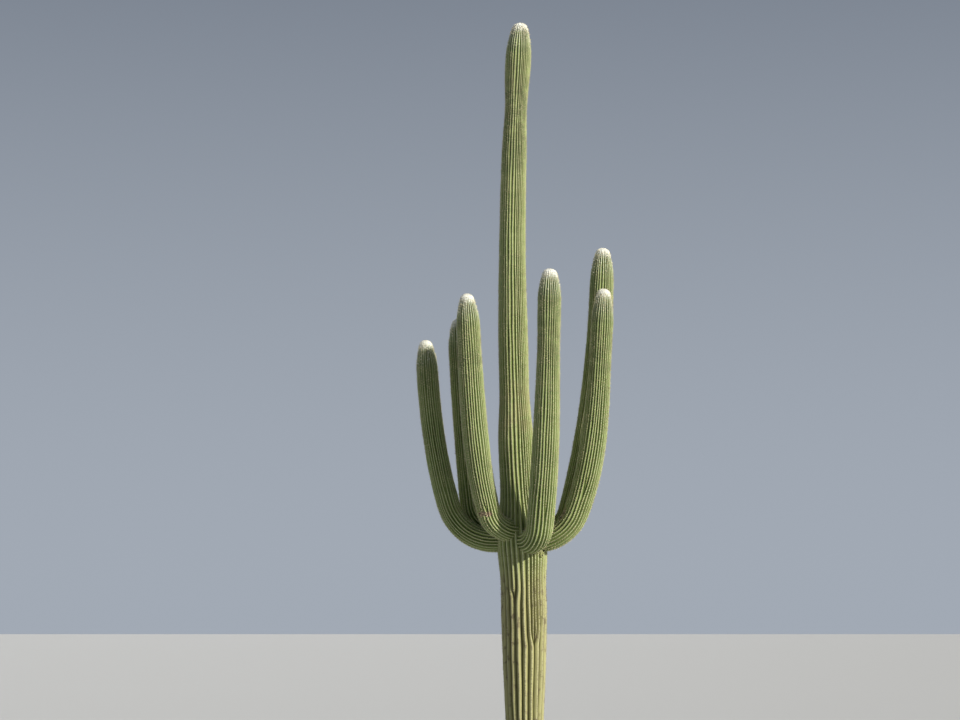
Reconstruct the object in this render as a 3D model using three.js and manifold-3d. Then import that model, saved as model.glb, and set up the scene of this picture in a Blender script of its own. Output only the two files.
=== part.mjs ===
import * as THREE from 'three';
import { mergeVertices } from 'three/addons/utils/BufferGeometryUtils.js';
import Module from 'manifold-3d';

// A mature saguaro: a ribbed trunk over ten metres tall with a whorl of six arms at three metres.
// Millimetres, +Z up, the origin on the flat cut where the trunk meets level ground.
// A bearing of 0 degrees points to the front, along -Y, and 90 degrees points to the right, along +X.

// Trunk
const trunkTop = 10250;
const trunkDome = 570;
const trunkRibs = 28;
const trunkGroove = 32;
const trunkColour = 0x8b8c5c;

// Diameter over the rib crests at the heights where the taper changes
const trunkGirths = [
  { at: 0, girth: 552 },
  { at: 110, girth: 520 },
  { at: 600, girth: 500 },
  { at: 1350, girth: 568 },
  { at: 2050, girth: 612 },
  { at: 2600, girth: 616 },
  { at: 2950, girth: 668 },
  { at: 3200, girth: 644 },
  { at: 3700, girth: 500 },
  { at: 4500, girth: 472 },
  { at: 5050, girth: 406 },
  { at: 5800, girth: 402 },
  { at: 7050, girth: 360 },
  { at: 8450, girth: 337 },
  { at: 9050, girth: 299 },
  { at: 9600, girth: 350 },
  { at: 10250, girth: 352 },
];

// Sideways place of the trunk's middle, which sways a little as it climbs
const trunkSway = [
  { at: 0, side: 0 },
  { at: 2050, side: -3 },
  { at: 2900, side: -22 },
  { at: 3250, side: -45 },
  { at: 4450, side: -108 },
  { at: 6400, side: -150 },
  { at: 7800, side: -140 },
  { at: 9150, side: -95 },
  { at: 10250, side: -36 },
];

// Largest height between two rings of the trunk
const trunkRingStep = 450;

// Arms
const armRibs = 22;
const armGroove = 24;
const armColour = 0x7f8d54;
const whorlSide = -30;
const routeStep = 10;

// An arm starts to swing from its root bearing this far out from the middle of the whorl
const swingFrom = 300;

// Share of its level run at which a bend starts, inside the trunk
const bendStart = 1 / 3;

// Rings of a bend, of the upright length above it and of a dome
const elbowRings = 7;
const shaftRings = 7;
const domeRings = 5;

// Each arm leaves the trunk at its root bearing, swings to its heading, runs out level,
// turns up round its bend radius and then straightens from its low lean to its tip lean.
// A higher ease straightens it sooner. Its girths are at even shares of its length.
const arms = [
  {
    name: 'far_left_arm', root: -100, heading: -104, rootHeight: 3100, run: 346, bend: 701,
    leanLow: 16.9, leanTip: 3.2, ease: 1.7, tip: 5866, dome: 380,
    girths: [300, 314, 302, 296, 298],
  },
  {
    name: 'left_arm', root: -42, heading: -50, rootHeight: 3237, run: 265, bend: 330,
    leanLow: 20.5, leanTip: 3.8, ease: 3.5, tip: 6373, dome: 420,
    girths: [300, 322, 343, 318, 304],
  },
  {
    name: 'left_rear_arm', root: -150, heading: -126, rootHeight: 3176, run: 351, bend: 487,
    leanLow: 7, leanTip: 3.2, ease: 1, tip: 6210, dome: 420,
    girths: [300, 315, 312, 310, 310],
  },
  {
    name: 'front_arm', root: 18, heading: 21.5, rootHeight: 3085, run: 360, bend: 258,
    leanLow: 16, leanTip: 2.9, ease: 3, tip: 6666, dome: 430,
    girths: [330, 362, 345, 300, 325],
  },
  {
    name: 'right_arm', root: 68, heading: 70, rootHeight: 3096, run: 210, bend: 595,
    leanLow: 22.5, leanTip: 3.4, ease: 3.5, tip: 6473, dome: 560,
    girths: [300, 340, 344, 292, 312],
  },
  {
    name: 'right_rear_arm', root: 120, heading: 98, rootHeight: 3175, run: 243, bend: 418,
    leanLow: 16.1, leanTip: 1.9, ease: 1.5, tip: 7118, dome: 570,
    girths: [300, 322, 330, 328, 325],
  },
];

// Space left between two pieces that touch
const seam = 0.3;

// Fullness of the domes: 2 is an ellipse, more is squarer
const domePower = 2.5;

// How far the rings of a dome are moved towards its tip, as a share of one step
const domeShift = 0.85;

// Smooth curve through stations of one value by height
function through(stations, key, at) {
  const last = stations.length - 1;
  let low = 0;
  while (low < last - 1 && stations[low + 1].at < at) {
    low += 1;
  }
  const slope = (i) => {
    const before = stations[Math.max(i - 1, 0)];
    const after = stations[Math.min(i + 1, last)];
    return (after[key] - before[key]) / (after.at - before.at);
  };
  const span = stations[low + 1].at - stations[low].at;
  const t = THREE.MathUtils.clamp((at - stations[low].at) / span, 0, 1);
  const rise = t * t * (3 - 2 * t);
  const start = t * (1 - t) * (1 - t) * span * slope(low);
  const end = t * t * (1 - t) * span * slope(low + 1);
  return THREE.MathUtils.lerp(stations[low][key], stations[low + 1][key], rise) + start - end;
}

// Share of the full radius at a distance below a rounded tip
function domeShare(below, length) {
  const inside = THREE.MathUtils.clamp(1 - below / length, 0, 1);
  return Math.pow(1 - inside * inside, 1 / domePower);
}

// Distances below the tip for the rings of a dome, closer together towards the top
function domeDepths(length, count) {
  const places = Array.from({ length: count }, (_, i) => (i + domeShift) / (count + domeShift));
  return places.map((place) => length * Math.pow(1 - place, 2));
}

// Closed body from rings of crests and grooves, with a middle point at each end
function ribbedGeometry(rings, ribs, footPoint, tipPoint) {
  const around = ribs * 2;
  const positions = [];
  const faces = [];
  for (const ring of rings) {
    for (let i = 0; i < around; i += 1) {
      const angle = (i / around) * Math.PI * 2;
      const radius = ring.radius - (i % 2) * ring.groove;
      const point = ring.centre.clone();
      point.addScaledVector(ring.across, Math.cos(angle) * radius);
      point.addScaledVector(ring.ahead, Math.sin(angle) * radius);
      positions.push(...point.toArray());
    }
  }
  const foot = rings.length * around;
  const tip = foot + 1;
  positions.push(...footPoint.toArray(), ...tipPoint.toArray());
  for (let i = 0; i < around; i += 1) {
    const next = (i + 1) % around;
    const lastRow = (rings.length - 1) * around;
    faces.push(foot, next, i);
    faces.push(tip, lastRow + i, lastRow + next);
    for (let row = 0; row < rings.length - 1; row += 1) {
      const low = row * around;
      const high = low + around;
      faces.push(low + i, low + next, high + next);
      faces.push(low + i, high + next, high + i);
    }
  }
  const geometry = new THREE.BufferGeometry();
  geometry.setAttribute('position', new THREE.Float32BufferAttribute(positions, 3));
  geometry.setIndex(faces);
  return geometry;
}

// Trunk, with level rings so that the foot is a flat cut
function trunkGeometry(growth) {
  const domeFoot = trunkTop - trunkDome;
  const stops = [...trunkGirths.slice(0, -1).map((station) => station.at), domeFoot];
  const heights = [0];
  for (let i = 1; i < stops.length; i += 1) {
    const steps = Math.ceil((stops[i] - stops[i - 1]) / trunkRingStep);
    for (let step = 1; step <= steps; step += 1) {
      heights.push(THREE.MathUtils.lerp(stops[i - 1], stops[i], step / steps));
    }
  }
  heights.push(...domeDepths(trunkDome, domeRings).slice(1).map((depth) => trunkTop - depth));
  const rings = heights.map((height) => {
    const share = domeShare(trunkTop - height, trunkDome);
    return {
      centre: new THREE.Vector3(through(trunkSway, 'side', height), 0, height),
      across: new THREE.Vector3(1, 0, 0),
      ahead: new THREE.Vector3(0, 1, 0),
      radius: (through(trunkGirths, 'girth', height) / 2) * share + growth,
      groove: trunkGroove * share,
    };
  });
  const foot = rings[0].centre.clone();
  const tip = new THREE.Vector3(through(trunkSway, 'side', trunkTop), 0, trunkTop + growth);
  return ribbedGeometry(rings, trunkRibs, foot, tip);
}

// Route of an arm's middle from the trunk's axis to the tip, in equal steps
function armRoute(arm) {
  const upright = THREE.MathUtils.degToRad(90 - arm.leanLow);
  const bendReach = arm.run + arm.bend * Math.sin(upright);
  const bendTop = arm.rootHeight + arm.bend * (1 - Math.cos(upright));
  const points = [];
  let out = 0;
  let height = arm.rootHeight;
  let along = 0;
  while (height < arm.tip) {
    const swing = THREE.MathUtils.smoothstep(out, swingFrom, bendReach);
    const bearing = THREE.MathUtils.degToRad(THREE.MathUtils.lerp(arm.root, arm.heading, swing));
    points.push(new THREE.Vector3(
      whorlSide + out * Math.sin(bearing),
      -out * Math.cos(bearing),
      height,
    ));
    const share = (height - bendTop) / (arm.tip - bendTop);
    const bowed = Math.pow(1 - Math.max(share, 0), arm.ease);
    const lean = THREE.MathUtils.degToRad(THREE.MathUtils.lerp(arm.leanTip, arm.leanLow, bowed));
    const turned = Math.max(along - arm.run, 0) / arm.bend;
    const climb = turned < upright ? turned : Math.PI / 2 - lean;
    out += routeStep * Math.cos(climb);
    height += routeStep * Math.sin(climb);
    along += routeStep;
  }
  return { points, length: along - routeStep, bendEnd: arm.run + arm.bend * upright };
}

// Point at a distance along a route
function pointOn(route, along) {
  const place = THREE.MathUtils.clamp(along / routeStep, 0, route.points.length - 1.001);
  const low = Math.floor(place);
  return route.points[low].clone().lerp(route.points[low + 1], place - low);
}

// Direction at a distance along a route
function directionOn(route, along) {
  const inside = THREE.MathUtils.clamp(along, routeStep, route.length - routeStep);
  return pointOn(route, inside + routeStep).sub(pointOn(route, inside - routeStep)).normalize();
}

// Ring across an arm at a distance along its route
function armRing(arm, route, along, growth) {
  const direction = directionOn(route, along);
  const heading = THREE.MathUtils.degToRad(arm.heading);
  const side = new THREE.Vector3(Math.cos(heading), Math.sin(heading), 0);
  const across = side.addScaledVector(direction, -side.dot(direction)).normalize();
  const ahead = direction.clone().cross(across);
  const share = domeShare(route.length - along, arm.dome);
  const stations = arm.girths.map((girth, i) => ({
    at: (route.length * i) / (arm.girths.length - 1),
    girth,
  }));
  return {
    centre: pointOn(route, along),
    across,
    ahead,
    radius: (through(stations, 'girth', along) / 2) * share + growth,
    groove: armGroove * share,
  };
}

// Bend of an arm, from inside the trunk to where the arm stands up
function elbowGeometry(arm, route, growth) {
  const start = arm.run * bendStart;
  const rings = Array.from({ length: elbowRings }, (_, i) => {
    const along = THREE.MathUtils.lerp(start, route.bendEnd, i / (elbowRings - 1));
    return armRing(arm, route, along, growth);
  });
  return ribbedGeometry(rings, armRibs, rings[0].centre, rings[elbowRings - 1].centre);
}

// Upright length of an arm, from the end of the bend to the rounded tip
function shaftGeometry(arm, route) {
  const start = route.bendEnd + seam;
  const domeFoot = route.length - arm.dome;
  const places = Array.from({ length: shaftRings }, (_, i) =>
    THREE.MathUtils.lerp(start, domeFoot, i / (shaftRings - 1)));
  places.push(...domeDepths(arm.dome, domeRings).slice(1).map((depth) => route.length - depth));
  const rings = places.map((along) => armRing(arm, route, along, 0));
  return ribbedGeometry(rings, armRibs, rings[0].centre, pointOn(route, route.length));
}

const wasm = await Module();
wasm.setup();

// Closed geometry as a solid that can be cut
function toSolid(geometry) {
  const merged = mergeVertices(geometry);
  return new wasm.Manifold(new wasm.Mesh({
    numProp: 3,
    vertProperties: merged.attributes.position.array,
    triVerts: new Uint32Array(merged.index.array),
  }));
}

// Cut solid as a geometry again, without the loose scraps of a cut
function toGeometry(solid) {
  const bodies = solid.decompose().sort((a, b) => b.volume() - a.volume());
  const mesh = bodies[0].getMesh();
  const geometry = new THREE.BufferGeometry();
  geometry.setAttribute('position', new THREE.Float32BufferAttribute(mesh.vertProperties, mesh.numProp));
  geometry.setIndex(Array.from(mesh.triVerts));
  return geometry;
}

function addPiece(name, geometry, colour) {
  geometry.computeVertexNormals();
  const material = new THREE.MeshStandardMaterial({ color: colour, roughness: 0.85, metalness: 0 });
  const mesh = new THREE.Mesh(geometry, material);
  mesh.name = name;
  cactus.add(mesh);
}

const cactus = new THREE.Group();
cactus.name = 'saguaro_cactus';
addPiece('trunk', trunkGeometry(0), trunkColour);

// Each bend ends on the trunk's skin and gives way to the bends that came before it
const taken = [toSolid(trunkGeometry(seam))];
for (const arm of arms) {
  const route = armRoute(arm);
  const elbow = taken.reduce((rest, solid) => rest.subtract(solid), toSolid(elbowGeometry(arm, route, 0)));
  addPiece(`${arm.name}_elbow`, toGeometry(elbow), armColour);
  addPiece(`${arm.name}_shaft`, shaftGeometry(arm, route), armColour);
  taken.push(toSolid(elbowGeometry(arm, route, seam)));
}

export default cactus;
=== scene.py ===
import math
import bpy
import numpy as np
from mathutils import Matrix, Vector


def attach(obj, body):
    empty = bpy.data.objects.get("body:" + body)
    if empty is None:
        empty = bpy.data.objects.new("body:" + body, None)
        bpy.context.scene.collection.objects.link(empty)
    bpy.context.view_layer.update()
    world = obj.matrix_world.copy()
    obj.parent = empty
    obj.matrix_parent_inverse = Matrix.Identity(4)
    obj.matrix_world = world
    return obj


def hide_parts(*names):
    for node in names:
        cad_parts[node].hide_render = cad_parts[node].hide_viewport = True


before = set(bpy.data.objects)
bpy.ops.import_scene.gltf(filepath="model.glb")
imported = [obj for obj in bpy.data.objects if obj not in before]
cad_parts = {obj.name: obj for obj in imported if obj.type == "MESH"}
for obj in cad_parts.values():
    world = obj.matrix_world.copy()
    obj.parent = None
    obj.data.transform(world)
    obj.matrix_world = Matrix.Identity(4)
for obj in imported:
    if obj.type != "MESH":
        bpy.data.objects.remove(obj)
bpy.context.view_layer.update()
rng = np.random.default_rng(41)


# A node tree is filled through one call, and its sockets take part in plain arithmetic
class Value:
    def __init__(self, tree, socket):
        self.tree = tree
        self.socket = socket

    def math(self, operation, first, second=None):
        inputs = {0: first} if second is None else {0: first, 1: second}
        return makeNode(self.tree, "ShaderNodeMath", {"operation": operation}, inputs)

    def __add__(self, other):
        return self.math("ADD", self, other)

    def __radd__(self, other):
        return self.math("ADD", other, self)

    def __sub__(self, other):
        return self.math("SUBTRACT", self, other)

    def __rsub__(self, other):
        return self.math("SUBTRACT", other, self)

    def __mul__(self, other):
        return self.math("MULTIPLY", self, other)

    def __rmul__(self, other):
        return self.math("MULTIPLY", other, self)

    def __pow__(self, other):
        return self.math("POWER", self, other)

    def __abs__(self):
        return self.math("ABSOLUTE", self)

    def step(self, low, high):
        # 0 up to low, 1 from high on and smooth between, or falling where low is the larger
        settings = {"interpolation_type": "SMOOTHSTEP"}
        if low > high:
            return 1.0 - self.step(high, low)
        return makeNode(self.tree, "ShaderNodeMapRange", settings, {"Value": self, 1: low, 2: high})


def makeNode(tree, kind, settings, inputs, out=0):
    node = tree.nodes.new(kind)
    for key, value in settings.items():
        setattr(node, key, value)
    for key, value in inputs.items():
        if isinstance(value, Value):
            tree.links.new(value.socket, node.inputs[key])
        else:
            node.inputs[key].default_value = value
    return Value(tree, node.outputs[out])


def mixColour(tree, factor, first, second):
    # 6 and 7 are the node's colour inputs, and 2 is its colour output
    return makeNode(tree, "ShaderNodeMix", {"data_type": "RGBA"}, {0: factor, 6: first, 7: second}, 2)


def scaleVector(tree, vector, factor):
    return makeNode(tree, "ShaderNodeVectorMath", {"operation": "SCALE"}, {0: vector, "Scale": factor})


def addVector(tree, first, second):
    return makeNode(tree, "ShaderNodeVectorMath", {"operation": "ADD"}, {0: first, 1: second})


def stretch(tree, vector, shares):
    return makeNode(tree, "ShaderNodeVectorMath", {"operation": "MULTIPLY"}, {0: vector, 1: shares})


def noise(tree, vector, scale, detail=3.0, rough=0.55, out=0):
    inputs = {"Vector": vector, "Scale": scale, "Detail": detail, "Roughness": rough}
    return makeNode(tree, "ShaderNodeTexNoise", {}, inputs, out)


def newMaterial(name, constants):
    material = bpy.data.materials.new(name)
    material.use_nodes = True
    shader = material.node_tree.nodes["Principled BSDF"]
    for key, value in constants.items():
        shader.inputs[key].default_value = value
    return material, shader


def newMesh(name, points, faces):
    mesh = bpy.data.meshes.new(name)
    mesh.from_pydata(np.asarray(points).tolist(), [], faces)
    return mesh


def addAttribute(mesh, name, values):
    # one number or one vector at each point
    kind, key = ("FLOAT_VECTOR", "vector") if np.ndim(values) > 1 else ("FLOAT", "value")
    attribute = mesh.attributes.new(name, kind, "POINT")
    attribute.data.foreach_set(key, np.asarray(values, np.float32).ravel())


def addObject(name, data):
    made = bpy.data.objects.new(name, data)
    bpy.context.scene.collection.objects.link(made)
    return made


def tone(red, green, blue):
    # a colour as seen on a screen, 0 to 255, as the linear one that a shader takes
    def linear(value):
        share = value / 255
        return share / 12.92 if share <= 0.04045 else ((share + 0.055) / 1.055) ** 2.4
    return (linear(red), linear(green), linear(blue), 1.0)


# Sizes of the plant, in metres and degrees, the same as in the solids
trunk = {
    "top": 10.25, "dome": 0.57, "groove": 0.044,
    "edge": 1.5,  # 1 gives sharp crests, 2 round ones
    "girths": [(0, 0.552), (0.11, 0.52), (0.6, 0.5), (1.35, 0.568), (2.05, 0.612), (2.6, 0.616),
               (2.95, 0.668), (3.2, 0.644), (3.7, 0.5), (4.5, 0.472), (5.05, 0.406), (5.8, 0.402),
               (7.05, 0.36), (8.45, 0.337), (9.05, 0.299), (9.6, 0.35), (10.25, 0.352)],
    "sway": [(0, 0), (2.05, -0.003), (2.9, -0.022), (3.25, -0.045), (4.45, -0.108), (6.4, -0.15),
             (7.8, -0.14), (9.15, -0.095), (10.25, -0.036)],
    "ribs": 20, "firstRib": 1.5,  # ribs that run the whole height, and the bearing of one of them
    "births": [(-29, 2.25), (24, 1.66), (30, 1.7), (47, 1.9)],  # bearing and height of new ribs in front
    "moreBirths": {"count": 9, "from": 84, "to": 300, "low": 1.4, "high": 2.5},
    "ribGrowth": 0.26,  # height over which a new rib reaches full width
    "marks": [],
    "pits": [(54.6, 2.963, 0.024), (51, 2.9, 0.02)],  # bearing, height and radius of small hollows
}
# An arm leaves the trunk at one bearing and turns to its heading, runs level, bends up round a radius, then
# leans less and less up to its tip; its girths stand at even steps from the trunk's axis
arms = {
    "far_left_arm": {
        "root": -100, "heading": -104, "height": 3.1, "run": 0.346, "bend": 0.701,
        "leanLow": 16.9, "leanTip": 3.2, "ease": 1.7, "tip": 5.866, "dome": 0.38,
        "girths": [0.3, 0.314, 0.302, 0.296, 0.298]},
    "left_arm": {
        "root": -42, "heading": -50, "height": 3.237, "run": 0.265, "bend": 0.33,
        "leanLow": 20.5, "leanTip": 3.8, "ease": 3.5, "tip": 6.373, "dome": 0.42,
        "girths": [0.3, 0.322, 0.343, 0.318, 0.304],
        "moreBirths": {"count": 7, "from": 20, "to": 380, "low": 0.6, "high": 0.68}, "ribGrowth": 0.25,
        "marks": [{"bearing": -30, "half": 62, "height": 3.43, "tall": 0.035, "deep": 0.018}]},
    "left_rear_arm": {
        "root": -150, "heading": -126, "height": 3.176, "run": 0.351, "bend": 0.487,
        "leanLow": 7, "leanTip": 3.2, "ease": 1, "tip": 6.21, "dome": 0.42,
        "girths": [0.3, 0.315, 0.312, 0.31, 0.31]},
    "front_arm": {
        "root": 18, "heading": 21.5, "height": 3.085, "run": 0.36, "bend": 0.258,
        "leanLow": 16, "leanTip": 2.9, "ease": 3, "tip": 6.666, "dome": 0.43,
        "girths": [0.33, 0.362, 0.345, 0.3, 0.325]},
    "right_arm": {
        "root": 68, "heading": 70, "height": 3.096, "run": 0.21, "bend": 0.595,
        "leanLow": 22.5, "leanTip": 3.4, "ease": 3.5, "tip": 6.473, "dome": 0.56,
        "girths": [0.3, 0.34, 0.344, 0.292, 0.312],
        "marks": [{"bearing": -96, "half": 52, "height": 3.45, "tall": 0.08, "deep": 0.012}]},
    "right_rear_arm": {
        "root": 120, "heading": 98, "height": 3.175, "run": 0.243, "bend": 0.418,
        "leanLow": 16.1, "leanTip": 1.9, "ease": 1.5, "tip": 7.118, "dome": 0.57,
        "girths": [0.3, 0.322, 0.33, 0.328, 0.325]},
}
armShape = {
    "whorlSide": -0.03,  # place of the trunk's axis where the arms leave it
    "swingFrom": 0.3,  # distance from it at which an arm starts to turn to its heading
    "routeStep": 0.01, "start": 0.2,  # step along its path, and where on it the skin begins
    "groove": 0.026, "edge": 1.5, "ribs": 22, "firstRib": 3, "births": [],
    "moreBirths": {"count": 6, "from": 20, "to": 380, "low": 0.35, "high": 1.3},
    "ribGrowth": 0.4, "marks": [],
}
scarShape = {"waveShare": 0.25, "waveDegrees": 7, "fadeFrom": 0.6}  # how old scars wander and end
skin = {
    "row": 0.034,  # height between two rings
    "domeRows": 1.25,  # rings on a dome, for each that a straight length would have
    "lastTurn": 0.06,  # angle of the last ring from the tip, in radians
    "ribPoints": 8,  # points across one rib
    "leastRadius": 0.004,  # at the tip
    "leastWidth": 0.02,  # room of a rib that hasn't begun, as a share of a grown one's
    "capLength": 0.05,  # the blunt top of each dome
    "capShare": 0.44,  # girth of that top, as a share of the full one
    "shoulder": 0.25,  # length over which the shoulders below it widen most
    "capGroove": 0.3,  # depth of the grooves at the tip, as a share of the full one
    "capFade": (0.02, 0.16),  # distances below the tip between which it comes back to full
    "wander": 0.0025,  # how far a crest strays sideways
    "wanderWaves": [(4.1, 1.0), (9.7, 0.6)],  # radians a metre and strength of its waves
    "calmRadius": 0.08,  # a thinner stem strays less
    "uneven": 0.07,  # how much the ribs differ in width
    "steepest": 0.6,  # greatest depth of a groove, as a share of the ribs' spacing
    "hold": 0.5,  # how strongly a rib keeps to its own bearing
    "swell": 0.007,  # broad unevenness of the surface
    "bands": 0.005,  # how far the yearly bands of growth stand out
    "wrinkle": 0.0016,  # fine unevenness
}


def through(stations, at):
    # smooth curve through stations of (height, value)
    places = np.array([place for place, value in stations], float)
    values = np.array([value for place, value in stations], float)
    slopes = np.empty_like(values)
    slopes[1:-1] = (values[2:] - values[:-2]) / (places[2:] - places[:-2])
    slopes[0] = (values[1] - values[0]) / (places[1] - places[0])
    slopes[-1] = (values[-1] - values[-2]) / (places[-1] - places[-2])
    low = np.clip(np.searchsorted(places, at, side="left") - 1, 0, len(places) - 2)
    span = places[low + 1] - places[low]
    t = np.clip((at - places[low]) / span, 0, 1)
    rise = t * t * (3 - 2 * t)
    start = t * (1 - t) ** 2 * span * slopes[low]
    end = t * t * (1 - t) * span * slopes[low + 1]
    return values[low] + (values[low + 1] - values[low]) * rise + start - end


def smooth(low, high, at):
    t = np.clip((np.asarray(at, float) - low) / (high - low), 0, 1)
    return t * t * (3 - 2 * t)


def unit(vectors):
    return vectors / np.linalg.norm(vectors, axis=-1, keepdims=True)


def domeShare(below, length):
    # share of the full girth: a blunt cap on shoulders that widen down the dome
    cap = 1 - np.clip(1 - below / skin["capLength"], 0, 1) ** 2
    shoulder = 1 - np.clip(1 - below / length, 0, 1) ** (length / skin["shoulder"])
    return skin["capShare"] * np.sqrt(cap) + (1 - skin["capShare"]) * shoulder


def rowPlaces(start, length, dome):
    # places of the rings from the start to the tip, even up the stem and round the dome
    shaftCount = max(int((length - dome - start) / skin["row"]), 2)
    shaft = np.linspace(start, length - dome, shaftCount, endpoint=False)
    domeCount = int(skin["domeRows"] * dome / skin["row"])
    turn = np.linspace(math.pi / 2, skin["lastTurn"], domeCount)
    return np.concatenate([shaft, length - dome * (1 - np.cos(turn))])


def trunkRings():
    height = rowPlaces(0, trunk["top"], trunk["dome"])
    share = domeShare(trunk["top"] - height, trunk["dome"])
    flat = np.zeros_like(height)
    return {
        "along": height, "below": trunk["top"] - height,
        "centre": np.stack([through(trunk["sway"], height), flat, height], 1),
        "across": np.tile([1.0, 0, 0], (len(height), 1)),
        "ahead": np.tile([0, 1.0, 0], (len(height), 1)),
        "radius": through(trunk["girths"], height) / 2 * share,
        "tip": np.array([through(trunk["sway"], np.array(trunk["top"])), 0, trunk["top"]]),
    }


def armRoute(arm):
    # walks from the trunk's axis to the tip in equal steps
    step = armShape["routeStep"]
    upright = math.radians(90 - arm["leanLow"])
    bendReach = arm["run"] + arm["bend"] * math.sin(upright)
    bendTop = arm["height"] + arm["bend"] * (1 - math.cos(upright))
    points = []
    out, height, along = 0.0, arm["height"], 0.0
    while height < arm["tip"]:
        swing = float(smooth(armShape["swingFrom"], bendReach, out))
        bearing = math.radians(arm["root"] + (arm["heading"] - arm["root"]) * swing)
        points.append((armShape["whorlSide"] + out * math.sin(bearing), -out * math.cos(bearing), height))
        bowed = (1 - max((height - bendTop) / (arm["tip"] - bendTop), 0)) ** arm["ease"]
        lean = math.radians(arm["leanTip"] + (arm["leanLow"] - arm["leanTip"]) * bowed)
        turned = max(along - arm["run"], 0) / arm["bend"]
        climb = turned if turned < upright else math.pi / 2 - lean
        out += step * math.cos(climb)
        height += step * math.sin(climb)
        along += step
    return np.array(points), along - step


def armRings(arm):
    points, length = armRoute(arm)
    places = rowPlaces(armShape["start"], length, arm["dome"])
    steps = np.arange(len(points)) * armShape["routeStep"]

    def on(along):
        return np.stack([np.interp(along, steps, points[:, k]) for k in range(3)], 1)
    reach = 3 * armShape["routeStep"]  # the direction is taken over this length each way
    inside = np.clip(places, reach, length - reach)
    direction = unit(on(inside + reach) - on(inside - reach))
    heading = math.radians(arm["heading"])
    side = np.array([math.cos(heading), math.sin(heading), 0])
    across = unit(side - direction * (direction @ side)[:, None])
    share = domeShare(length - places, arm["dome"])
    stations = [(length * i / (len(arm["girths"]) - 1), girth) for i, girth in enumerate(arm["girths"])]
    return {
        "along": places, "below": length - places,
        "centre": on(places), "across": across, "ahead": np.cross(direction, across),
        "radius": through(stations, places) / 2 * share, "tip": points[-1],
    }


def ribPlan(shape):
    # bearing and birth height of each rib
    noBirth = -1e3  # far below the foot, for the ones that run the whole way
    firstShare, goldenStep = 0.3, 0.618  # keep the births of neighbours apart
    plan = [(shape["firstRib"] + 360 * i / shape["ribs"], noBirth) for i in range(shape["ribs"])]
    more = shape["moreBirths"]
    for i in range(more["count"]):
        bearing = more["from"] + (more["to"] - more["from"]) * (i + 0.5) / more["count"]
        share = (firstShare + goldenStep * i) % 1
        plan.append((bearing, more["low"] + (more["high"] - more["low"]) * share))
    return sorted((bearing % 360, birth) for bearing, birth in plan + shape["births"])


def scarAt(shape, ring, height):
    # 0 on sound skin, 1 in the middle of an old scar
    scar = np.zeros(ring.shape[:2])
    bearing = np.degrees(np.arctan2(ring[..., 0], -ring[..., 1]))
    for mark in shape["marks"]:
        away = np.abs((bearing - mark["bearing"] + 180) % 360 - 180)
        wave = scarShape["waveShare"] * mark["tall"] * np.sin(bearing / scarShape["waveDegrees"])
        spot = np.exp(-((height - (mark["height"] + wave)) / mark["tall"]) ** 2)
        spot = spot * (1 - smooth(scarShape["fadeFrom"], 1.0, away / mark["half"]))
        scar = np.maximum(scar, spot)
    return scar


def ribAngles(home, growth, width):
    # in each ring the ribs share the room with their neighbours, held lightly at their own bearings
    rows, ribs = width.shape
    room = (width + np.roll(width, -1, 1)) / 2
    room = room / room.sum(1, keepdims=True) * 2 * math.pi
    homeRoom = (np.roll(home, -1) - home) % (2 * math.pi)
    stiff = room.mean() / room  # a narrow gap gives way less
    push = stiff * (room - homeRoom[None, :])
    system = np.zeros((rows, ribs, ribs))
    spot = np.arange(ribs)
    system[:, spot, spot] = stiff + np.roll(stiff, 1, 1) + skin["hold"] * growth
    system[:, spot, (spot + 1) % ribs] -= stiff
    system[:, spot, (spot - 1) % ribs] -= np.roll(stiff, 1, 1)
    shift = np.linalg.solve(system, (np.roll(push, 1, 1) - push)[..., None])[..., 0]
    return home[None, :] + shift


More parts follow.
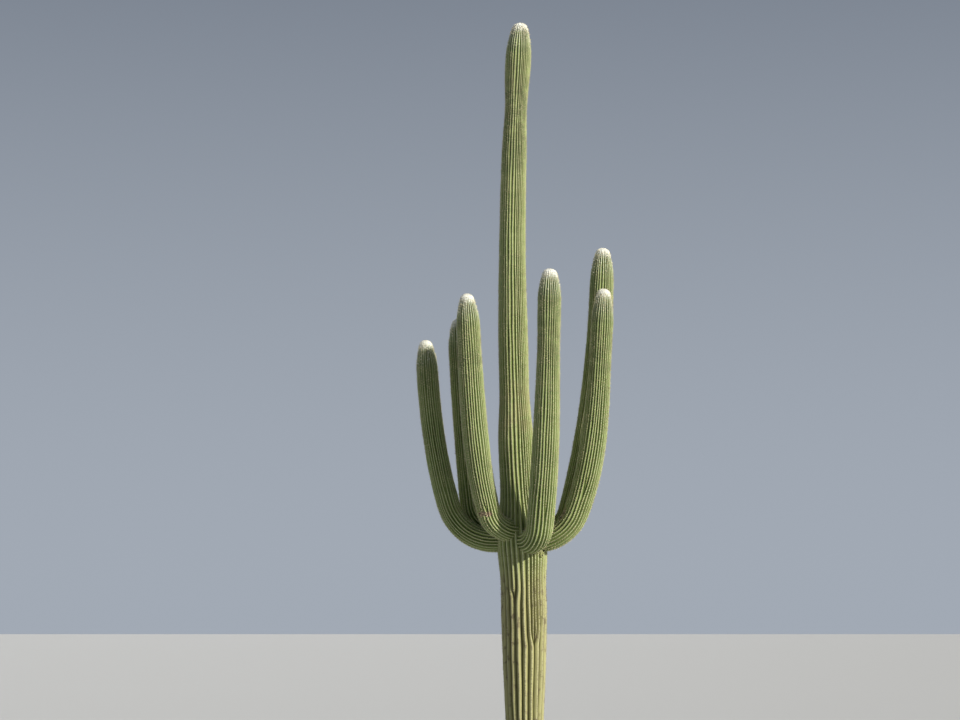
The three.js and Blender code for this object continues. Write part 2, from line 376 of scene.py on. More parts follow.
def stemGrid(name, shape, rings):
    # smooth tube with the points of each rib side by side, and what the carving needs at each point
    plan = ribPlan(shape)
    rows, ribs, across = len(rings["along"]), len(plan), skin["ribPoints"]
    birth = np.array([height for bearing, height in plan])
    growth = smooth(0, shape["ribGrowth"], rings["along"][:, None] - birth[None, :])
    width = np.maximum(growth, skin["leastWidth"]) * (1 + skin["uneven"] * rng.uniform(-1, 1, ribs))
    crest = ribAngles(np.radians(np.array([bearing for bearing, height in plan])), growth, width)
    following = np.roll(crest, -1, 1) + 2 * math.pi * (np.arange(ribs) == ribs - 1)
    after = crest + (following - crest) * width / (width + np.roll(width, -1, 1))
    before = np.roll(after, 1, 1) - 2 * math.pi * (np.arange(ribs) == 0)
    phase = np.tile(np.arange(across) / across, ribs)  # 0 in the groove, 0.5 on the crest
    rib = np.repeat(np.arange(ribs), across)
    inner = crest[:, rib] + (before[:, rib] - crest[:, rib]) * (1 - 2 * phase)
    outer = crest[:, rib] + (after[:, rib] - crest[:, rib]) * (2 * phase - 1)
    angle = np.where(phase < 0.5, inner, outer)
    stray = rng.uniform(0, 2 * math.pi, (2, ribs))
    along = rings["along"][:, None]
    wander = sum(share * np.sin(along * rate + start[None, :])
                 for (rate, share), start in zip(skin["wanderWaves"], stray))
    radius = np.maximum(rings["radius"], skin["leastRadius"])[:, None]
    angle = angle + skin["wander"] * wander[:, rib] / np.maximum(radius, skin["calmRadius"])
    angle = angle - math.pi / 2  # bearing 0 is at the front
    ring = np.cos(angle)[..., None] * rings["across"][:, None]
    ring = ring + np.sin(angle)[..., None] * rings["ahead"][:, None]
    points = rings["centre"][:, None] + ring * radius[..., None]
    upward = unit(np.gradient(points, axis=0))
    sideways = unit(np.roll(points, -across, 1) - np.roll(points, across, 1))
    outward = unit(np.cross(sideways, upward))
    outward[0] = ring[0]
    upward[-1] = upward[-2]
    spacing = 2 * math.pi * radius / width.sum(1, keepdims=True)
    deepening = smooth(*skin["capFade"], rings["below"])[:, None]
    depth = skin["capGroove"] + (1 - skin["capGroove"]) * deepening
    groove = depth * np.minimum(shape["groove"], skin["steepest"] * spacing) * np.ones_like(angle)
    scar = scarAt(shape, ring, points[..., 2])
    deepest = max([mark["deep"] for mark in shape["marks"]], default=0)
    return {
        "name": name, "rows": rows, "columns": ribs * across, "points": points, "outward": outward,
        "upward": upward, "phase": np.broadcast_to(phase, angle.shape), "growth": growth[:, rib],
        "groove": groove, "scar": scar, "scarDepth": scar * deepest,
        "below": np.broadcast_to(rings["below"][:, None], angle.shape),
        "along": np.broadcast_to(along, angle.shape), "rings": rings,
        "crestColumns": np.arange(ribs) * across + across // 2, "edge": shape["edge"],
        "luck": rng.random((rows, ribs)),
    }


def stemMesh(grid):
    rows, columns = grid["rows"], grid["columns"]
    rings = grid["rings"]
    foot, tip = rings["centre"][0], rings["tip"]
    points = np.concatenate([grid["points"].reshape(-1, 3), [foot, tip]])
    index = np.arange(rows * columns).reshape(rows, columns)
    following = np.roll(index, -1, 1)
    quads = np.stack([index[:-1], following[:-1], following[1:], index[1:]], -1).reshape(-1, 4)
    footFan = np.stack([following[0], index[0], np.full(columns, rows * columns)], -1)
    tipFan = np.stack([index[-1], following[-1], np.full(columns, rows * columns + 1)], -1)
    mesh = newMesh(grid["name"], points, quads.tolist() + footFan.tolist() + tipFan.tolist())
    far = 9  # beyond the reach of whatever fades out from the foot or the tip
    # numbers kept at the points, with their values in the middle of the foot and at the tip
    numbers = {"phase": (0.5, 0.5), "growth": (1, 1), "groove": (0, 0), "scar": (0, 0), "scarDepth": (0, 0),
               "below": (far, 0), "along": (0, far)}
    for key, ends in numbers.items():
        addAttribute(mesh, key, np.concatenate([grid[key].ravel(), ends]))
    direction = unit(tip - rings["centre"][-1])
    outward = np.concatenate([grid["outward"].reshape(-1, 3), [-direction, direction]])
    addAttribute(mesh, "outward", outward)
    return mesh


def geometryTree(name, inputs):
    # an empty tree with named inputs, its geometry and its output
    tree = bpy.data.node_groups.new(name, "GeometryNodeTree")
    tree.interface.new_socket("Geometry", in_out="INPUT", socket_type="NodeSocketGeometry")
    tree.interface.new_socket("Geometry", in_out="OUTPUT", socket_type="NodeSocketGeometry")
    for label, (kind, default) in inputs.items():
        socket = tree.interface.new_socket(label, in_out="INPUT", socket_type=kind)
        if default is not None:
            socket.default_value = default
    start = tree.nodes.new("NodeGroupInput")
    end = tree.nodes.new("NodeGroupOutput")
    sockets = {socket.name: Value(tree, socket) for socket in start.outputs if socket.name}
    return tree, sockets, end.inputs[0]


def named(tree, name, kind="FLOAT"):
    return makeNode(tree, "GeometryNodeInputNamedAttribute", {"data_type": kind}, {"Name": name})


def applyTree(source, tree, values, name):
    # runs a tree on a mesh and keeps the result as a plain mesh of its own
    host = addObject(name + "Host", source)
    modifier = host.modifiers.new(tree.name, "NODES")
    modifier.node_group = tree
    for socket in tree.interface.items_tree:
        if socket.in_out == "INPUT" and socket.name in values:
            modifier[socket.identifier] = values[socket.name]
    evaluated = host.evaluated_get(bpy.context.evaluated_depsgraph_get())
    mesh = bpy.data.meshes.new_from_object(evaluated)
    host.modifiers.remove(modifier)
    bpy.data.objects.remove(host)
    mesh.name = name
    return addObject(name, mesh)


def endTree(tree, geometry, material, end):
    real = makeNode(tree, "GeometryNodeRealizeInstances", {}, {"Geometry": geometry})
    done = makeNode(tree, "GeometryNodeSetMaterial", {}, {"Geometry": real, "Material": material})
    tree.links.new(done.socket, end)


# Scale per metre and detail of each unevenness, and the lengths over which it fades out at tip and foot
carving = {"Swell": (2.2, 1.0), "Wrinkle": (26.0, 2.0), "Bands": (1.0, 2.0), "bandSqueeze": (0.5, 0.5, 6.0),
           "calmTip": 0.3, "calmFoot": 0.1}


def carvingTree():
    # pushes the grooves in between the rib crests and roughens the surface
    tree, inputs, end = geometryTree("ribCarving", {
        "Edge": ("NodeSocketFloat", 1.5), "Swell": ("NodeSocketFloat", skin["swell"]),
        "Bands": ("NodeSocketFloat", skin["bands"]), "Wrinkle": ("NodeSocketFloat", skin["wrinkle"]),
        "Material": ("NodeSocketMaterial", None)})
    crest = (1.0 - abs(named(tree, "phase") * 2.0 - 1.0) ** inputs["Edge"]) * named(tree, "growth")
    depth = named(tree, "groove") * (crest - 1.0)
    place = makeNode(tree, "GeometryNodeInputPosition", {}, {})
    calm = named(tree, "below").step(0.0, carving["calmTip"])
    calm = calm * named(tree, "along").step(0.0, carving["calmFoot"])

    def uneven(label, vector):
        return (noise(tree, vector, *carving[label]) - 0.5) * inputs[label] * 2.0
    swell = uneven("Swell", place)
    wrinkle = uneven("Wrinkle", place)
    bands = uneven("Bands", stretch(tree, place, carving["bandSqueeze"]))
    lift = depth + (swell + bands + wrinkle) * calm - named(tree, "scarDepth")
    offset = scaleVector(tree, named(tree, "outward", "FLOAT_VECTOR"), lift)
    source = {"Geometry": inputs["Geometry"], "Offset": offset}
    moved = makeNode(tree, "GeometryNodeSetPosition", {}, source)
    settings = {"data_type": "FLOAT", "domain": "POINT"}
    source = {"Geometry": moved, "Name": "crest", "Value": crest}
    stored = makeNode(tree, "GeometryNodeStoreNamedAttribute", settings, source)
    shaded = makeNode(tree, "GeometryNodeSetShadeSmooth", {}, {"Geometry": stored, "Shade Smooth": True})
    endTree(tree, shaded, inputs["Material"], end)
    return tree


# Patterns in the skin: scale per metre, detail and roughness, and how much some are squeezed along the axes
patterns = {
    "broad": (1.7, 3.0, 0.55), "mottle": (9.0, 4.0, 0.55), "flecks": (34.0, 2.0, 0.55),
    "grain": (140.0, 3.0, 0.7), "fine": (420.0, 2.0, 0.55),
    "rings": (1.6, 3.0, 0.55), "fineRings": (2.0, 2.0, 0.55), "streaks": (2.4, 4.0, 0.65),
}
squeezes = {"rings": (0.5, 0.5, 6.0), "fineRings": (0.8, 0.8, 14.0), "streaks": (9.0, 9.0, 1.4)}
cracks = {"squeeze": (1.0, 1.0, 0.3), "scale": 26.0, "warp": (14.0, 2.0), "warpBy": 0.05}
# Layers of colour in their order: values of a pattern between which one fades in, and how much it then covers
layers = {
    "flank": (0.02, 0.62, 1.0), "dry": (0.35, 0.7, 0.5), "deep": (0.5, 0.75, 0.3),
    "deepRings": (0.5, 0.66, 0.45), "dryRings": (0.52, 0.66, 0.3), "crest": (0.8, 0.99, 0.85),
    "patch": (0.36, 0.6, 1.0),
    # the drier low trunk, by height first
    "low": (3.25, 2.2, 1.0), "lowFlank": (0.05, 0.75, 1.0), "streak": (0.45, 0.65, 0.6),
    "lowCrest": (0.82, 1.0, 0.55), "scab": (0.55, 0.62, 0.7), "scabStreaks": (0.42, 0.56, 1.0),
    # cork at the foot, by height first
    "cork": (0.75, 0.3, 1.0), "corkTone": (0.3, 0.7, 1.0), "crack": (0.12, 0.0, 1.0),
    # old scars, and by distance below the tip the pale cap and its down
    "scarFlecks": (0.5, 0.62, 1.0), "scar": (0.3, 0.7, 1.0),
    "cap": (0.17, 0.03, 1.0), "down": (0.5, 0.08, 0.35), "downCrest": (0.5, 0.95, 1.0),
}
# How far a pattern breaks up the edge of a layer
fray = {"crest": 0.12, "low": 0.9, "lowCrest": 0.3, "cork": 1.1, "corkStreaks": 0.6, "scar": 0.4,
        "cap": 0.05, "capMottle": 0.06}
relief = {"grain": 0.5, "mottle": 0.6, "fine": 0.25, "scar": 2.0, "low": 1.5, "crack": 1.5, "cork": 3.0}


def skinMaterial(name, look):
    # crests, flanks and grooves with the grooves darkened as painted shade, cream at the growing tip, bark
    # low down, by place and the mesh's attributes
    material, shader = newMaterial(name, {"Specular IOR Level": look["gloss"]})
    tree = material.node_tree
    place = makeNode(tree, "ShaderNodeTexCoord", {}, {}, "Object")
    height = makeNode(tree, "ShaderNodeSeparateXYZ", {}, {0: place}, "Z")

    def attribute(label):
        return makeNode(tree, "ShaderNodeAttribute", {"attribute_name": label}, {}, "Fac")

    def texture(label):
        source = stretch(tree, place, squeezes[label]) if label in squeezes else place
        return noise(tree, source, *patterns[label])

    def layer(label, by):
        low, high, strength = layers[label]
        return by.step(low, high) * strength

    def frayed(value, by, label):
        return value + (by - 0.5) * fray[label]
    crest, below, scar = attribute("crest"), attribute("below"), attribute("scar")
    broad, mottle, flecks = texture("broad"), texture("mottle"), texture("flecks")
    grain, fine, streaks = texture("grain"), texture("fine"), texture("streaks")
    rings, fineRings = texture("rings"), texture("fineRings")
    warp = scaleVector(tree, noise(tree, place, *cracks["warp"], out=1), cracks["warpBy"])
    bent = addVector(tree, stretch(tree, place, cracks["squeeze"]), warp)
    settings = {"feature": "DISTANCE_TO_EDGE"}
    gap = makeNode(tree, "ShaderNodeTexVoronoi", settings, {"Vector": bent, "Scale": cracks["scale"]})
    crack = layer("crack", gap)

    # green above, darker into the grooves as painted shade
    colour = mixColour(tree, layer("flank", crest), look["groove"], look["flank"])
    colour = mixColour(tree, layer("dry", broad), colour, look["dry"])
    colour = mixColour(tree, layer("deep", mottle), colour, look["deep"])
    colour = mixColour(tree, layer("deepRings", rings), colour, look["deep"])
    colour = mixColour(tree, layer("dryRings", fineRings), colour, look["dry"])
    colour = mixColour(tree, layer("crest", frayed(crest, grain, "crest")), colour, look["crest"])
    for low, high, share, patch in look["patches"]:
        zone = height.step(low - look["patchFade"], low) * height.step(high + look["patchFade"], high)
        colour = mixColour(tree, zone * layer("patch", mottle) * share, colour, patch)

    # dry and woody below
    lowland = layer("low", frayed(height, broad, "low")) * look["low"]
    # painted shade in the low trunk's grooves, fading to the flank tone towards the crests
    lowTone = mixColour(tree, layer("lowFlank", crest), look["lowGrooveShade"], look["lowFlank"])
    lowTone = mixColour(tree, layer("streak", streaks), lowTone, look["streak"])
    lowCrest = layer("lowCrest", frayed(crest, streaks, "lowCrest"))
    lowTone = mixColour(tree, lowCrest, lowTone, look["lowCrest"])
    colour = mixColour(tree, lowland, colour, lowTone)
    scab = layer("scab", mottle) * layer("scabStreaks", streaks) * lowland
    colour = mixColour(tree, scab, colour, look["corkDark"])

    # cork at the foot
    corkHeight = frayed(frayed(height, mottle, "cork"), streaks, "corkStreaks")
    cork = layer("cork", corkHeight) * look["low"]
    corkTone = mixColour(tree, layer("corkTone", streaks), look["corkDark"], look["cork"])
    corkTone = mixColour(tree, crack * look["crackShare"], corkTone, look["scarDark"])
    colour = mixColour(tree, cork * look["corkShare"], colour, corkTone)

    # scars, then the pale tip
    scarTone = mixColour(tree, layer("scarFlecks", flecks), look["scar"], look["scarDark"])
    colour = mixColour(tree, layer("scar", frayed(scar, grain, "scar")), colour, scarTone)
    cap = layer("cap", frayed(frayed(below, grain, "cap"), mottle, "capMottle"))
    cap = cap * (look["capInGroove"] + (1 - look["capInGroove"]) * crest)
    colour = mixColour(tree, cap, colour, look["tip"])
    down = layer("down", below) * layer("downCrest", crest)
    colour = mixColour(tree, down, colour, look["tip"])

    rough = look["rough"] + grain * look["grainRough"] + cork * look["corkRough"]
    bumps = grain * relief["grain"] + mottle * relief["mottle"] + fine * relief["fine"]
    bumps = bumps + scar * grain * relief["scar"] + streaks * lowland * relief["low"]
    bumps = bumps + (streaks + grain - crack * relief["crack"]) * cork * relief["cork"]
    inputs = {"Strength": look["bump"], "Distance": look["bumpHeight"], "Height": bumps}
    bump = makeNode(tree, "ShaderNodeBump", {}, inputs)
    for key, value in {"Base Color": colour, "Roughness": rough, "Normal": bump}.items():
        tree.links.new(value.socket, shader.inputs[key])
    return material


trunkLook = {
    # the groove tone is painted shade, darker where the grooves lie
    "groove": tone(44, 56, 18), "flank": tone(130, 145, 80),
    "deep": tone(98, 114, 60), "dry": tone(150, 156, 104),
    "crest": tone(196, 204, 160),
    "low": 1.0,  # 0 on a stem without the dry low part
    # the low groove tone is painted shade in the low trunk's grooves
    "lowGrooveShade": tone(80, 80, 34), "lowFlank": tone(162, 160, 110),
    "lowCrest": tone(186, 184, 146), "streak": tone(124, 120, 82),
    "cork": tone(148, 138, 116), "corkDark": tone(98, 86, 66), "corkShare": 0.85, "crackShare": 0.85,
    "scar": tone(170, 150, 124), "scarDark": tone(62, 50, 36),
    "tip": tone(247, 250, 247), "capInGroove": 0.65,
    "rough": 0.5, "grainRough": 0.3, "corkRough": 0.15, "gloss": 0.3, "bump": 0.4, "bumpHeight": 0.004,
    "patchFade": 0.25,
    # lowest and highest place, strength and tone of drier and of darker stretches
    "patches": [(4.7, 5.1, 0.3, tone(170, 156, 118)), (8.3, 9.2, 0.5, tone(86, 96, 62)),
                (9.2, 10.2, 0.35, tone(94, 104, 68))],
}
armLook = {**trunkLook, "low": 0.0, "flank": tone(120, 137, 72), "dry": tone(140, 152, 94),
           # the arms' groove tone is painted shade in the grooves too
           "groove": tone(42, 54, 18), "patches": [(5.4, 7.1, 0.32, tone(88, 98, 66))]}


# Finishes of the spines and the felt: two tones, the scale of their speckle per metre, and roughness
finishes = {
    "strawSpine": (tone(206, 198, 160), tone(168, 158, 124), 8.0, 0.6),
    "greySpine": (tone(186, 178, 150), tone(136, 126, 104), 8.0, 0.7),
    "creamSpine": (tone(238, 232, 208), tone(220, 210, 176), 12.0, 0.6),
    "tipFelt": (tone(251, 250, 242), tone(238, 232, 210), 60.0, 0.9),
}
speckleEdge = (0.35, 0.65)  # how sharply two tones part
dullGloss = 0.25


def plainMaterial(name):
    # one base colour with a little of another one through it
    first, second, scale, rough = finishes[name]
    material, shader = newMaterial(name, {"Roughness": rough, "Specular IOR Level": dullGloss})
    tree = material.node_tree
    place = makeNode(tree, "ShaderNodeTexCoord", {}, {}, "Object")
    mixed = mixColour(tree, noise(tree, place, scale, 2.0).step(*speckleEdge), first, second)
    tree.links.new(mixed.socket, shader.inputs["Base Color"])
    return material


# Small hollows with a callused rim
pitShape = {
    "sides": 14, "ragged": 0.14, "noise": 0.0015,
    # distance from the middle as a share of the radius, and height over the crests in metres
    "profile": [(1.75, -0.012), (1.5, 0.0005), (1.2, 0.0045), (0.95, 0.004), (0.75, -0.001),
                (0.5, -0.009), (0.2, -0.012)],
    "hollowShare": 0.9,  # the callus ends and the hollow begins here
    "backDepth": -0.03,
    "degreesPerMetre": 40,  # how bearing and height weigh against each other in finding its place
}


def pitPiece(name, grid, pits, material):
    # rings of callus round a hollow, set on the crests at each place
    points, faces, hollow = [], [], []
    sides = pitShape["sides"]
    for bearing, height, radius in pits:
        ring = grid["points"] - grid["rings"]["centre"][:, None]
        off = np.degrees(np.arctan2(ring[..., 0], -ring[..., 1])) - bearing
        away = np.abs(off) / pitShape["degreesPerMetre"] + np.abs(grid["points"][..., 2] - height)
        row, column = np.unravel_index(np.argmin(away), off.shape)
        centre, outward, upward = (grid[key][row, column] for key in ("points", "outward", "upward"))
        across = np.cross(upward, outward)
        first = len(points)
        for share, rise in pitShape["profile"]:
            for k in range(sides):
                turn = 2 * math.pi * k / sides
                reach = radius * share * (1 + pitShape["ragged"] * rng.uniform(-1, 1))
                spot = centre + reach * (math.cos(turn) * across + math.sin(turn) * upward)
                points.append(spot + outward * (rise + pitShape["noise"] * rng.uniform(-1, 1)))
                hollow.append(1.0 if share < pitShape["hollowShare"] else 0.0)
        points += [centre + outward * pitShape["profile"][-1][1], centre + outward * pitShape["backDepth"]]
        hollow += [1.0, 0.0]
        bottom, back = len(points) - 2, len(points) - 1
        levels = len(pitShape["profile"])
        for k in range(sides):
            after = (k + 1) % sides
            faces.append((back, first + after, first + k))
            for level in range(levels - 1):
                low, high = first + level * sides, first + (level + 1) * sides
                faces.append((low + k, low + after, high + after, high + k))
            last = first + (levels - 1) * sides
            faces.append((last + k, last + after, bottom))
    mesh = newMesh(name, points, faces)
    addAttribute(mesh, "hollow", hollow)
    mesh.materials.append(material)
    mesh.shade_smooth()
    piece = addObject(name, mesh)
    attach(piece, "root")
    print(f"{name}: {len(pits)} hollows")


pitLook = {
    # inside is painted shade, the near-black tone of the hollow
    "rim": tone(156, 160, 102), "inside": tone(34, 32, 18), "shade": 0.6,
    "grain": 90.0, "fray": 0.3, "edge": (0.2, 0.6), "rough": 0.85, "bump": 0.5, "bumpHeight": 0.003,
}


def pitMaterial(name, look):
    # callus in two shades, with the hollow painted dark as painted shade
    material, shader = newMaterial(name, {"Roughness": look["rough"]})
    tree = material.node_tree
    place = makeNode(tree, "ShaderNodeTexCoord", {}, {}, "Object")
    hollow = makeNode(tree, "ShaderNodeAttribute", {"attribute_name": "hollow"}, {}, "Fac")
    grain = noise(tree, place, look["grain"])
    red, green, blue, opaque = look["rim"]
    darker = (look["shade"] * red, look["shade"] * green, look["shade"] * blue, opaque)
    rimTone = mixColour(tree, grain.step(*speckleEdge), look["rim"], darker)
    # the dark inside is painted shade in the hollow
    inner = (hollow + (grain - 0.5) * look["fray"]).step(*look["edge"])
    colour = mixColour(tree, inner, rimTone, look["inside"])
    tree.links.new(colour.socket, shader.inputs["Base Color"])
    inputs = {"Strength": look["bump"], "Distance": look["bumpHeight"], "Height": grain}
    bump = makeNode(tree, "ShaderNodeBump", {}, inputs)
    tree.links.new(bump.socket, shader.inputs["Normal"])
    return material


# Spines, in bunches on woolly pads along the crests: a ring of them at an angle, the spread, and central ones
bunches = {
    "old": {"count": 5, "long": 0.014, "central": 2, "centralLong": 0.021,
            "thick": 0.0013, "pad": 0.0075, "spread": 68},
    "grown": {"count": 6, "long": 0.016, "central": 1, "centralLong": 0.026,
              "thick": 0.0013, "pad": 0.0075, "spread": 66},
    "young": {"count": 8, "long": 0.017, "central": 3, "centralLong": 0.023,
              "thick": 0.0015, "pad": 0.0085, "spread": 52},
}
# How the spines of a bunch differ: turn in shares of the ring's step, tilts in degrees, lengths in shares
bunchStray = {"turn": 0.25, "tilt": (-14, 12), "long": (0.75, 1.15),
              "centralTilt": (8, 34), "centralLong": (0.8, 1.1)}
# Heights of the pad, and where the spines start in it, in shares of its radius
padShape = {"sides": 5, "foot": -0.25, "top": 0.45, "spineFoot": 0.2}
# Two rings of a tuft by their share of its width and height
woolTuft = {"wide": 0.011, "high": 0.006, "sides": 7, "ragged": 0.25, "rings": ((1.0, -0.5), (0.75, 0.55))}
bunchKinds = {"count": 3, "firstSeed": 7}


def bunchMesh(name, plan, seed):
    # slim three-sided spines round a low pad
    dice = np.random.default_rng(seed)
    points, faces = [], []
    notAlong = [0.3, 0.2, 1.0]  # a direction that no spine has

    def addSpine(turn, tilt, length):
        level = math.sin(tilt)
        direction = np.array([level * math.cos(turn), level * math.sin(turn), math.cos(tilt)])
        side = unit(np.cross(direction, notAlong))
        other = np.cross(direction, side)
        start = len(points)
        base = direction * plan["pad"] * padShape["spineFoot"]
        for k in range(3):
            angle = 2 * math.pi * k / 3
            points.append(base + (side * math.cos(angle) + other * math.sin(angle)) * plan["thick"])
        points.append(direction * length)
        faces.append((start + 2, start + 1, start))
        faces.extend([(start + k, start + (k + 1) % 3, start + 3) for k in range(3)])
    for k in range(plan["count"]):
        turn = 2 * math.pi * (k + dice.uniform(-bunchStray["turn"], bunchStray["turn"])) / plan["count"]
        tilt = math.radians(plan["spread"] + dice.uniform(*bunchStray["tilt"]))
        addSpine(turn, tilt, plan["long"] * dice.uniform(*bunchStray["long"]))
    for k in range(plan["central"]):
        tilt = math.radians(dice.uniform(*bunchStray["centralTilt"]))
        turn = dice.uniform(0, 2 * math.pi)
        addSpine(turn, tilt, plan["centralLong"] * dice.uniform(*bunchStray["centralLong"]))
    sides = padShape["sides"]
    start = len(points)
    for k in range(sides):
        angle = 2 * math.pi * k / sides
        points.append(np.array([math.cos(angle), math.sin(angle), padShape["foot"]]) * plan["pad"])
    points.append(np.array([0, 0, padShape["top"]]) * plan["pad"])
    faces.extend([(start + k, start + (k + 1) % sides, start + sides) for k in range(sides)])
    faces.append(tuple(start + k for k in reversed(range(sides))))
    return newMesh(name, points, faces)


def tuftMesh(name, plan, seed):
    # a low ragged cushion of felt, closed underneath
    dice = np.random.default_rng(seed)
    sides = plan["sides"]
    points = []
    for reach, rise in plan["rings"]:
        for k in range(sides):
            angle = 2 * math.pi * (k + 0.5 * (rise > 0)) / sides  # the upper ring is half a step on
            out = plan["wide"] * reach * (1 + plan["ragged"] * dice.uniform(-1, 1))
            points.append((out * math.cos(angle), out * math.sin(angle), plan["high"] * rise))
    points.append((0, 0, plan["high"]))
    faces = [tuple(reversed(range(sides)))]
    for k in range(sides):
        after = (k + 1) % sides
        faces += [(k, after, sides + k), (after, sides + after, sides + k)]
        faces.append((sides + k, sides + after, 2 * sides))
    return newMesh(name, points, faces)


def bunchCollection(kind, maker, plan):
    collection = bpy.data.collections.new(kind + "Bunches")
    for k in range(bunchKinds["count"]):
        mesh = maker(f"{kind}Bunch{k}", plan, bunchKinds["firstSeed"] + k)
        collection.objects.link(bpy.data.objects.new(mesh.name, mesh))
    return collection


def spineTree():
    # sets a bunch on every point, turned to face outward, each a little different
    tree, inputs, end = geometryTree("spineBunches", {
        "Bunches": ("NodeSocketCollection", None), "Smallest": ("NodeSocketFloat", 0.75),
        "Largest": ("NodeSocketFloat", 1.2), "Stray": ("NodeSocketFloat", 0.007),
        "Seed": ("NodeSocketInt", 3), "Material": ("NodeSocketMaterial", None)})

    def dice(kind, low, high, shift):
        # the node has its lowest, highest and result sockets for each kind of number here
        first = {"FLOAT": 2, "INT": 4}[kind]
        out = {"FLOAT": 1, "INT": 2}[kind]
        source = {first: low, first + 1: high, "Seed": inputs["Seed"] + shift}
        return makeNode(tree, "FunctionNodeRandomValue", {"data_type": kind}, source, out)
    outward = named(tree, "outward", "FLOAT_VECTOR")
    upward = named(tree, "upward", "FLOAT_VECTOR")
    shifts = {"stray": 11.0, "spin": 23.0, "size": 37.0, "kind": 53.0}  # keep the four draws apart
    stray = scaleVector(tree, upward, inputs["Stray"] * dice("FLOAT", -1.0, 1.0, shifts["stray"]))
    source = {"Geometry": inputs["Geometry"], "Offset": stray}
    spread = makeNode(tree, "GeometryNodeSetPosition", {}, source)
    facing = makeNode(tree, "FunctionNodeAlignRotationToVector", {"axis": "Z"}, {"Vector": outward})
    angle = dice("FLOAT", 0.0, 2 * math.pi, shifts["spin"])
    spin = makeNode(tree, "FunctionNodeAxisAngleToRotation", {}, {"Angle": angle})
    settings = {"rotation_space": "LOCAL"}
    source = {"Rotation": facing, "Rotate By": spin}
    turned = makeNode(tree, "FunctionNodeRotateRotation", settings, source)
    size = dice("FLOAT", inputs["Smallest"], inputs["Largest"], shifts["size"]) * named(tree, "size")
    settings = {"transform_space": "ORIGINAL"}
    source = {"Collection": inputs["Bunches"], "Separate Children": True, "Reset Children": True}
    kinds = makeNode(tree, "GeometryNodeCollectionInfo", settings, source)
    kind = dice("INT", 0, bunchKinds["count"] - 1, shifts["kind"])
    placed = makeNode(tree, "GeometryNodeInstanceOnPoints", {}, {
        "Points": spread, "Instance": kinds, "Pick Instance": True, "Instance Index": kind,
        "Rotation": turned, "Scale": size})
    endTree(tree, placed, inputs["Material"], end)
    return tree


# Where the kinds of bunch begin and end; young ones and wool reach down unevenly, by luck
spineZones = {
    "lowest": 0.05, "oldBelow": 2.9,  # heights
    "young": 0.14, "youngLeast": 0.4, "youngLuck": 2.4, "wool": 0.09, "woolLeast": 0.5,
    "bareTip": 0.004, "smallShare": 0.35, "fullFrom": 0.12,  # size at the tip, and where it is full
    "missing": 0.08,  # share of the older bunches that is gone
    "grownRib": 0.7,  # a rib bears bunches once it is this far grown
}


def areolePoints(grid, kind, lowest, highest):
    # crest points of one kind on one stem: position, outward, upward and size
    columns = grid["crestColumns"]
    keys = ("points", "outward", "upward", "below", "growth")
    points, outward, upward, below, growth = (grid[key][:, columns] for key in keys)
    height = points[..., 2]
    reach = spineZones["youngLeast"] + spineZones["youngLuck"] * grid["luck"] ** 2
    young = below < spineZones["young"] * reach
    old = (height < spineZones["oldBelow"]) & (grid["name"] == "trunkSkin")
    wool = below < spineZones["wool"] * (spineZones["woolLeast"] + grid["luck"])
    wanted = {"wool": wool, "young": young, "old": old & ~young, "grown": ~old & ~young}[kind]
    kept = rng.random(points.shape[:2]) > (spineZones["missing"] if kind in ("old", "grown") else 0)
    inside = (height >= lowest) & (height < highest) & (below > spineZones["bareTip"])
    chosen = wanted & kept & inside & (growth > spineZones["grownRib"])
    smallShare = spineZones["smallShare"]
    youngSize = smallShare + (1 - smallShare) * smooth(0.0, spineZones["fullFrom"], below)
    size = np.where(young, youngSize, 1.0)
    stagger = (np.arange(len(columns)) % 2 - 0.5) * skin["row"] / 2
    points = points + upward * stagger[None, :, None]
    return points[chosen], outward[chosen], upward[chosen], size[chosen]


def spinePiece(name, kind, stems, lowest=spineZones["lowest"], highest=math.inf):
    # one mesh of the bunches of one kind on one or more stems
    parts = [areolePoints(grid, kind, lowest, highest) for grid in stems]
    points, outward, upward, size = (np.concatenate(group) for group in zip(*parts))
    mesh = newMesh(name, points, [])
    for label, values in (("outward", outward), ("upward", upward), ("size", size)):
        addAttribute(mesh, label, values)
    piece = applyTree(mesh, bunchTree, spineKinds[kind], name)
    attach(piece, "root")
    triangles = sum(len(polygon.vertices) - 2 for polygon in piece.data.polygons)
    print(f"{name}: {len(points)} bunches, {triangles} triangles")


# Skins
ribCarving = carvingTree()
trunkSkinMaterial = skinMaterial("trunkSkin", trunkLook)
armSkinMaterial = skinMaterial("armSkin", armLook)
print("carving tree and skin materials made")
grids = {"trunk": stemGrid("trunkSkin", trunk, trunkRings())}
for name, arm in arms.items():
    grids[name] = stemGrid(name + "Skin", {**armShape, **arm}, armRings(arm))
for name, grid in grids.items():
    isTrunk = name == "trunk"
    values = {"Edge": grid["edge"], "Material": trunkSkinMaterial if isTrunk else armSkinMaterial}
    piece = applyTree(stemMesh(grid), ribCarving, values, grid["name"])
    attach(piece, "root")
    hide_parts(*(["trunk"] if isTrunk else [name + "_elbow", name + "_shaft"]))
    print(f"{grid['name']}: {len(piece.data.polygons)} faces")
pitPiece("trunkPits", grids["trunk"], trunk["pits"], pitMaterial("pitCallus", pitLook))

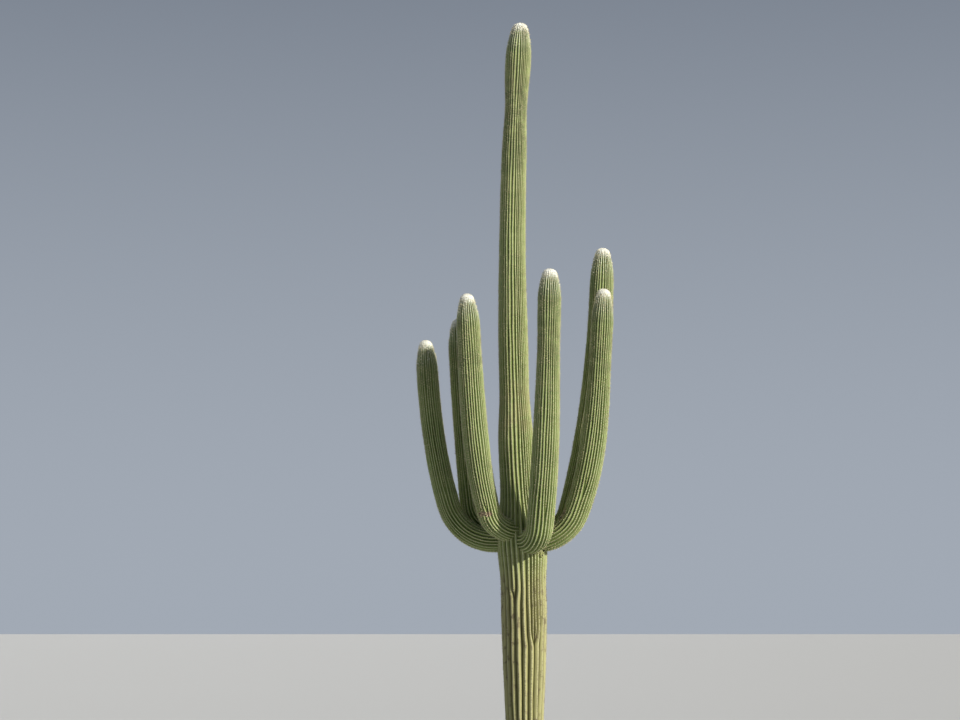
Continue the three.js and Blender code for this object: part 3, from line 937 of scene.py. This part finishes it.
# Spines
bunchTree = spineTree()
spineKinds = {
    "old": {"Bunches": bunchCollection("old", bunchMesh, bunches["old"]),
            "Material": plainMaterial("greySpine"), "Seed": 5, "Smallest": 0.6, "Largest": 1.05},
    "grown": {"Bunches": bunchCollection("grown", bunchMesh, bunches["grown"]),
              "Material": plainMaterial("strawSpine"), "Seed": 9},
    "young": {"Bunches": bunchCollection("young", bunchMesh, bunches["young"]),
              "Material": plainMaterial("creamSpine"), "Seed": 13, "Stray": 0.004},
    "wool": {"Bunches": bunchCollection("wool", tuftMesh, woolTuft),
             "Material": plainMaterial("tipFelt"), "Seed": 17, "Stray": 0.003},
}
print("bunches and their materials made")
spinePiece("trunkLowSpines", "old", [grids["trunk"]])
splitHeight = 6.4  # the trunk's many spines are shared between two pieces here
spinePiece("trunkMiddleSpines", "grown", [grids["trunk"]], highest=splitHeight)
spinePiece("trunkHighSpines", "grown", [grids["trunk"]], lowest=splitHeight)
for name in arms:
    spinePiece(name + "Spines", "grown", [grids[name]])
spinePiece("tipSpines", "young", grids.values())
spinePiece("tipWool", "wool", grids.values())


# Floor, light and camera
stage = {
    "floorHalf": 150.0, "floorTone": tone(180, 180, 178), "floorRough": 0.9,
    "horizon": (0.36, 0.4, 0.46, 1.0), "zenith": (0.04, 0.06, 0.1, 1.0), "zenithFrom": 0.6,
    "sunBearing": 55.0, "sunHeight": 25.0, "sunStrength": 5.4, "sunSoftness": 2.5,
    "sunTone": (1.0, 0.95, 0.86),
    "backBearing": 200.0, "backHeight": 16.0, "backStrength": 2.2, "backSoftness": 60.0,
    "backTone": (0.93, 0.96, 1.0),
}
# The camera's place and reach in metres, its tilt in degrees and its lens in millimetres
view = {"side": -0.594, "back": -28.0, "eye": 2.2, "pitch": 6.822, "lens": 77.78, "farthest": 400}


def makeStage():
    half = stage["floorHalf"]
    corners = [(-half, -half, 0), (half, -half, 0), (half, half, 0), (-half, half, 0)]
    mesh = newMesh("floor", corners, [(0, 1, 2, 3)])
    constants = {"Base Color": stage["floorTone"], "Roughness": stage["floorRough"]}
    mesh.materials.append(newMaterial("paleFloor", constants)[0])
    floor = addObject("floor", mesh)
    world = bpy.data.worlds.new("studio")
    world.use_nodes = True
    tree = world.node_tree
    direction = makeNode(tree, "ShaderNodeTexCoord", {}, {}, "Object")
    up = makeNode(tree, "ShaderNodeSeparateXYZ", {}, {0: direction}, "Z")
    sky = mixColour(tree, up.step(0.0, stage["zenithFrom"]), stage["horizon"], stage["zenith"])
    tree.links.new(sky.socket, tree.nodes["Background"].inputs["Color"])
    bpy.context.scene.world = world
    bpy.context.scene.view_settings.view_transform = "Standard"
    for name in ("sun", "back"):
        lamp = bpy.data.lights.new(name, "SUN")
        lamp.energy = stage[name + "Strength"]
        lamp.angle = math.radians(stage[name + "Softness"])
        lamp.color = stage[name + "Tone"]
        light = addObject(name, lamp)
        bearing, height = math.radians(stage[name + "Bearing"]), math.radians(stage[name + "Height"])
        level = math.cos(height)
        towards = Vector((math.sin(bearing) * level, -math.cos(bearing) * level, math.sin(height)))
        light.rotation_euler = towards.to_track_quat("Z", "Y").to_euler()


def makeCamera():
    data = bpy.data.cameras.new("camera")
    data.lens = view["lens"]
    data.clip_end = view["farthest"]
    camera = addObject("camera", data)
    camera.location = (view["side"], view["back"], view["eye"])
    camera.rotation_euler = (math.radians(90 + view["pitch"]), 0, 0)
    bpy.context.scene.camera = camera


makeStage()
makeCamera()
print("stage, light and camera made")
